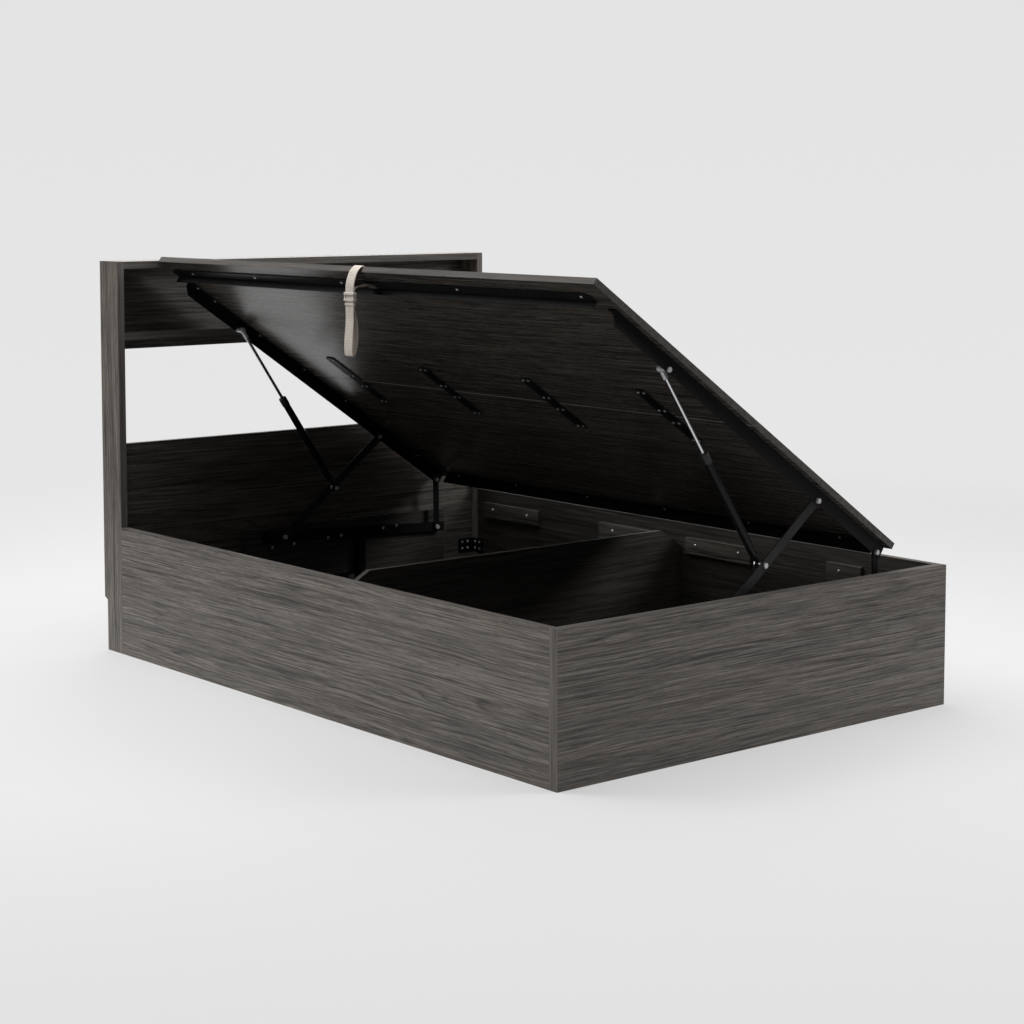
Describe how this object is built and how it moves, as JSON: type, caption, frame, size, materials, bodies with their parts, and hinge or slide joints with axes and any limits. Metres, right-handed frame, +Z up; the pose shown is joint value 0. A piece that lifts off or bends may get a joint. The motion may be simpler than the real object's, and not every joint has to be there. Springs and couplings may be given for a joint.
{
  "type": "gas lift storage bed",
  "caption": "Storage bed with a headboard shelf and a board lid that lifts and travels over its open side on linkages and gas struts.",
  "frame": {"origin": "on the floor under the middle of the whole bed, lid open", "axes": "+X from the opening side to the hinge side, +Y from the foot to the headboard, +Z up"},
  "size_m": [1.42, 2.147, 1.2199],
  "materials": {
    "dark_board": "satin laminated board",
    "floor_board": "matte laminated board",
    "black_steel": "black powder coat",
    "zinc_steel": "zinc plated",
    "chrome_rod": "hard chrome",
    "gland_plastic": "moulded",
    "slider_plastic": "moulded",
    "webbing": "woven"
  },
  "bodies": {
    "box": {"foot_panel": "dark_board", "near_side_panel": "dark_board", "far_side_panel": "dark_board", "partition": "dark_board", "floor_board_foot": "floor_board", "floor_board_head": "floor_board", "floor_battens": "floor_board", "lid_ledges": "dark_board", "side_blocks": "dark_board", "corner_brackets": "black_steel", "headboard_near_side": "dark_board", "headboard_far_side": "dark_board", "headboard_edge_strips": "dark_board", "headboard_top": "dark_board", "headboard_shelf": "dark_board", "headboard_upper_back": "dark_board", "headboard_lower_panel": "dark_board", "head_packer": "dark_board", "base_bolts": "zinc_steel", "base_tube_foot": "black_steel", "base_tube_head": "black_steel", "base_leg_foot": "black_steel", "base_leg_head": "black_steel"},
    "short_links": {"short_link_foot": "black_steel", "short_link_head": "black_steel", "link_top_nuts": "zinc_steel"},
    "lid": {"lid_hinge_board": "dark_board", "lid_free_board": "dark_board", "lid_free_angle": "black_steel", "lid_hinge_angle": "black_steel", "lid_joint_plates": "black_steel", "strap": "webbing", "strap_slider": "slider_plastic", "link_top_bolts": "zinc_steel", "arm_top_bolts": "zinc_steel", "strut_top_studs": "zinc_steel", "top_rail_foot": "black_steel", "top_rail_head": "black_steel"},
    "long_arms": {"long_arm_foot": "black_steel", "long_arm_head": "black_steel", "strut_base_studs": "zinc_steel"},
    "strut_cylinders": {"strut_tube_foot": "black_steel", "strut_tube_head": "black_steel", "strut_gland_foot": "gland_plastic", "strut_gland_head": "gland_plastic", "strut_lower_eye_foot": "black_steel", "strut_lower_eye_head": "black_steel"},
    "strut_rods": {"strut_rod_foot": "chrome_rod", "strut_rod_head": "chrome_rod", "strut_upper_eye_foot": "zinc_steel", "strut_upper_eye_head": "zinc_steel", "strut_top_nuts": "zinc_steel"}
  },
  "joints": [
    {"name": "lid_lift", "type": "hinge", "parent": "box", "child": "long_arms", "pos_m": [-0.13262, -0.038, 0.309], "axis": [0, 1, 0], "range_deg": [0, 33.66]},
    {"name": "lid_tilt", "type": "hinge", "parent": "long_arms", "child": "lid", "pos_m": [0.24694, -0.038, 0.60615], "axis": [0, 1, 0], "range_deg": [-68.76, 0]},
    {"name": "link_swing", "type": "hinge", "parent": "box", "child": "short_links", "pos_m": [0.48509, -0.038, 0.2815], "axis": [0, 1, 0], "range_deg": [0, 67.95]},
    {"name": "strut_swing", "type": "hinge", "parent": "long_arms", "child": "strut_cylinders", "pos_m": [0.05242, -0.038, 0.45387], "axis": [0, 1, 0], "range_deg": [-87.93, 0]},
    {"name": "strut_slide", "type": "slide", "parent": "strut_cylinders", "child": "strut_rods", "axis": [-0.5538, 0, 0.8327], "range_m": [-0.21859, 0], "stiffness_N_per_m": 1400, "springref_m": 1}
  ],
  "couplings": [
    {"joint": "lid_tilt", "follows": "lid_lift", "ratio": -2.0281},
    {"joint": "link_swing", "follows": "lid_lift", "ratio": 2.007},
    {"joint": "strut_swing", "follows": "lid_lift", "ratio": -2.5978},
    {"joint": "strut_slide", "follows": "lid_lift", "m_per_rad": -0.37044}
  ]
}
